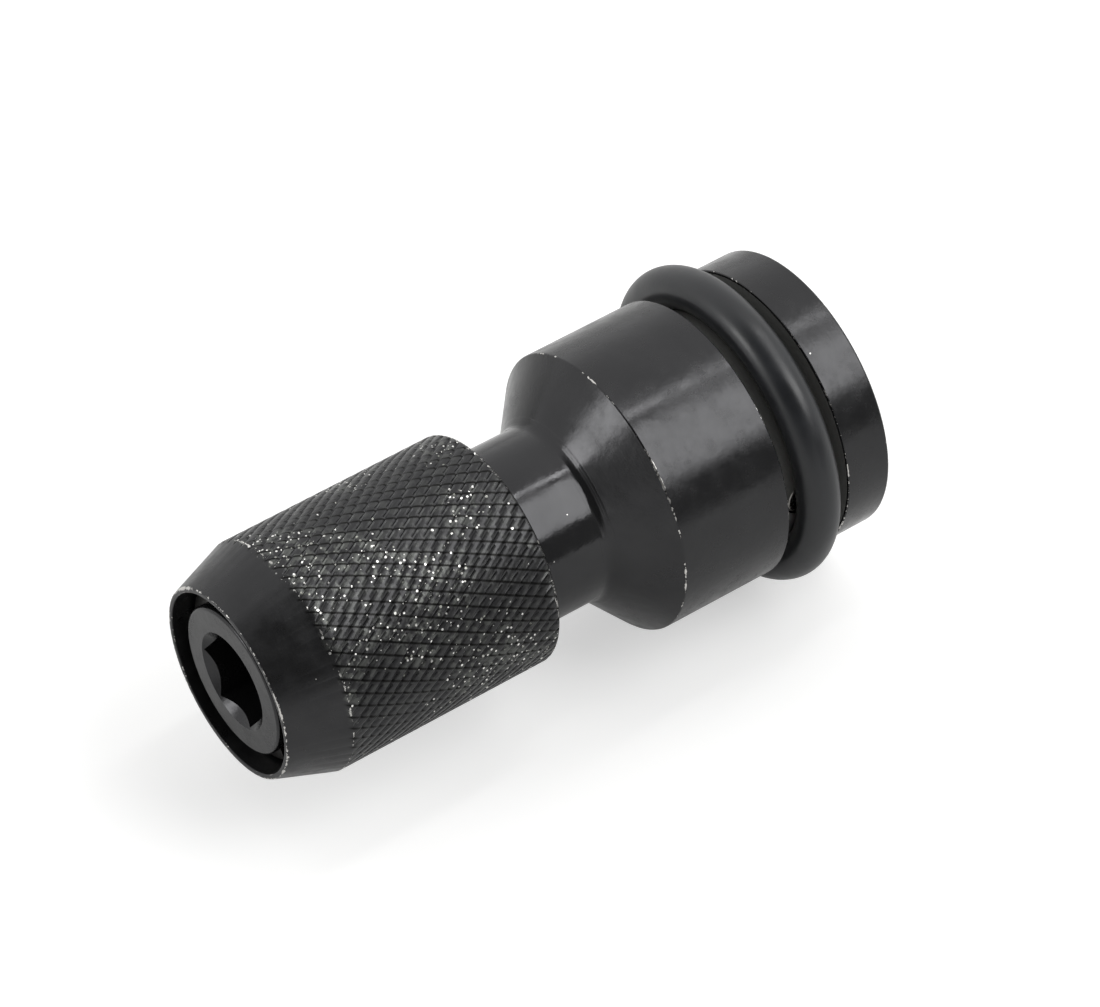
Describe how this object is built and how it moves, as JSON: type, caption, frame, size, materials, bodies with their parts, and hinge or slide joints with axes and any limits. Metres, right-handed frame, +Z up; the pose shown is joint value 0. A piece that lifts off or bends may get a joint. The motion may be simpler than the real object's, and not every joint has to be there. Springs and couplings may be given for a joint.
{
  "type": "quick-change bit adapter",
  "caption": "Quick-change bit adapter: square drive socket at one end, spring-loaded knurled sleeve over a hex bit chuck at the other, and a rubber ring in a groove round the drive end.",
  "frame": {"origin": "centre of the drive end's rear face, where the square drive enters", "axes": "+Y along the adapter's axis, out of the square drive socket; the hex chuck opens towards -Y; +Z up through a flat of the hexagon; +X along the retaining pin and through a corner of the hexagon and the right locking ball"},
  "size_m": [0.025, 0.05, 0.025],
  "materials": {
    "black_oxide_steel": "black oxide, satin",
    "black_oxide_sleeve": "black oxide, knurled, worn bright on the tips",
    "spring_steel": "bright drawn wire",
    "ring_steel": "phosphated",
    "ball_steel": "polished",
    "nitrile_rubber": "matte",
    "pin_steel": "ground"
  },
  "bodies": {
    "adapter": {"adapter_body": "black_oxide_steel", "return_spring": "spring_steel", "spring_washer": "ring_steel", "retaining_clip": "ring_steel", "drive_o_ring": "nitrile_rubber", "retaining_pin": "pin_steel"},
    "sleeve": {"knurled_sleeve": "black_oxide_sleeve"},
    "ball_right": {"locking_ball_right": "ball_steel"},
    "ball_left": {"locking_ball_left": "ball_steel"}
  },
  "joints": [
    {"name": "sleeve_slide", "type": "slide", "parent": "adapter", "child": "sleeve", "axis": [0, -1, 0], "range_m": [0, 0.003], "stiffness_N_per_m": 1200, "springref_m": -0.003, "deforming": ["return_spring"]},
    {"name": "ball_right_lift", "type": "slide", "parent": "adapter", "child": "ball_right", "axis": [1, 0, 0], "range_m": [0, 0.00097]},
    {"name": "ball_left_lift", "type": "slide", "parent": "adapter", "child": "ball_left", "axis": [-1, 0, 0], "range_m": [0, 0.00097]}
  ],
  "couplings": [
    {"joint": "ball_right_lift", "follows": "sleeve_slide", "ratio": 0.32333},
    {"joint": "ball_left_lift", "follows": "sleeve_slide", "ratio": 0.32333}
  ]
}
